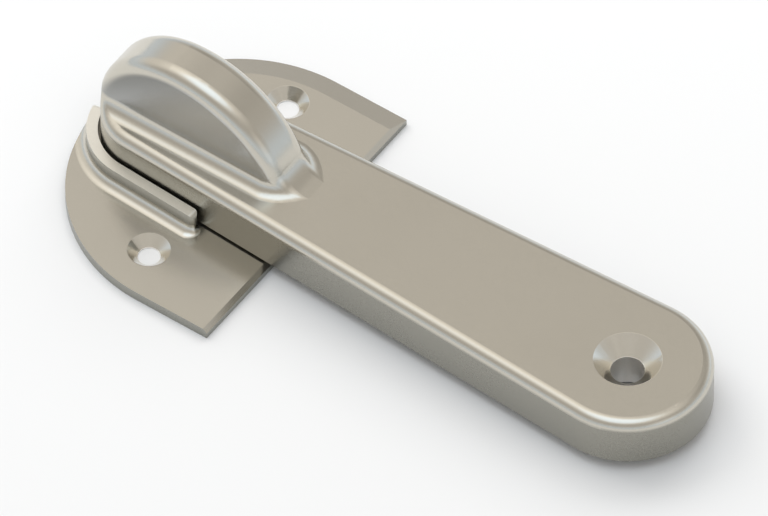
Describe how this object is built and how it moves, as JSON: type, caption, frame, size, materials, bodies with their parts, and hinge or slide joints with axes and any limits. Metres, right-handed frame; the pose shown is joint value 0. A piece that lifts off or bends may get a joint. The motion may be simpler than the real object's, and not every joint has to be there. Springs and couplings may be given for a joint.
{
  "type": "sleeper latch",
  "caption": "Flat tapered lever with a half-moon finger grip that swings about a countersunk pivot hole and closes beside the J-shaped lip of a half-round screw-on keeper plate.",
  "frame": {"origin": "midway between the keeper's two screw holes, on the keeper's mounting face", "axes": "+X along the closed lever towards its pivot, +Z away from the mounting face, +Y the side the lever opens to"},
  "size_m": [0.128, 0.06, 0.029],
  "materials": {
    "keeper_metal": "satin",
    "lever_metal": "satin"
  },
  "bodies": {
    "keeper": {"keeper_plate": "keeper_metal"},
    "lever": {"lever": "lever_metal"}
  },
  "joints": [
    {"name": "lever_swing", "type": "hinge", "parent": "keeper", "child": "lever", "pos_m": [0.087, 0, 0.0025], "axis": [0, 0, -1], "range_deg": [0, 90]}
  ]
}
